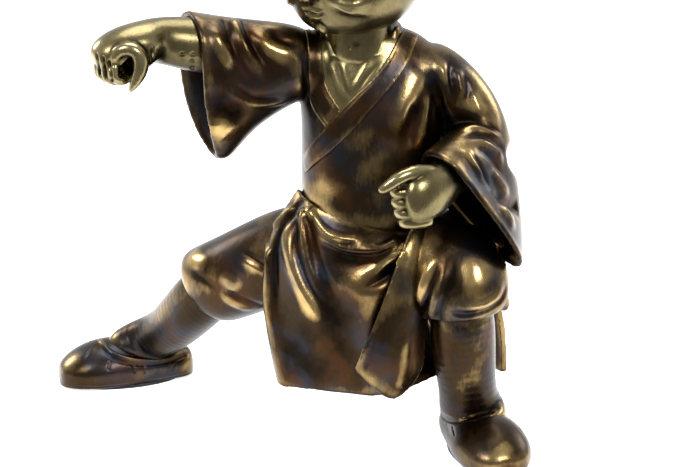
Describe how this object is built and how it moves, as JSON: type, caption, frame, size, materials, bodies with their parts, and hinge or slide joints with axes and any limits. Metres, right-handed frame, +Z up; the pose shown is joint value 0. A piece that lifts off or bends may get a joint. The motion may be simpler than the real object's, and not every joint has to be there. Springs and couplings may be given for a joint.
{
  "type": "resin figurine",
  "caption": "Free-standing cast figurine of a bald child monk in a wide fighting stance, one arm stretched out with a hooked fist and one fist at the waist, in bronze and gold paint.",
  "frame": {"origin": "on the floor, below the middle of the figure's bounding box", "axes": "+Z up, the figure faces -Y, its raised right arm points to -X"},
  "size_m": [0.2651, 0.1724, 0.305],
  "materials": {
    "gold_paint": "cast resin in antique gold metallic paint, polished",
    "bronze_paint": "cast resin in dark bronze metallic paint, rubbed to gold on the high folds",
    "steel_rod": "plain drawn steel",
    "black_felt": "pressed felt"
  },
  "bodies": {
    "root": {"head": "gold_paint", "neck": "gold_paint", "right_forearm": "gold_paint", "right_hand": "gold_paint", "left_forearm": "gold_paint", "left_hand": "gold_paint", "inner_shirt": "gold_paint", "torso": "bronze_paint", "lapel_under": "bronze_paint", "lapel_over": "bronze_paint", "right_sleeve": "bronze_paint", "left_sleeve": "bronze_paint", "skirt_front": "bronze_paint", "skirt_flap": "bronze_paint", "skirt_back": "bronze_paint", "seat": "bronze_paint", "right_trouser_leg": "bronze_paint", "left_trouser_leg": "bronze_paint", "right_gaiter": "bronze_paint", "left_gaiter": "bronze_paint", "right_shoe": "bronze_paint", "left_shoe": "bronze_paint", "neck_dowel": "steel_rod", "waist_dowel": "steel_rod", "right_shoulder_dowel": "steel_rod", "left_shoulder_dowel": "steel_rod", "right_wrist_dowel": "steel_rod", "left_wrist_dowel": "steel_rod", "right_hip_dowel": "steel_rod", "left_hip_dowel": "steel_rod", "right_knee_dowel": "steel_rod", "left_knee_dowel": "steel_rod", "right_ankle_dowel": "steel_rod", "left_ankle_dowel": "steel_rod", "right_pad": "black_felt", "left_pad": "black_felt"}
  },
  "joints": []
}
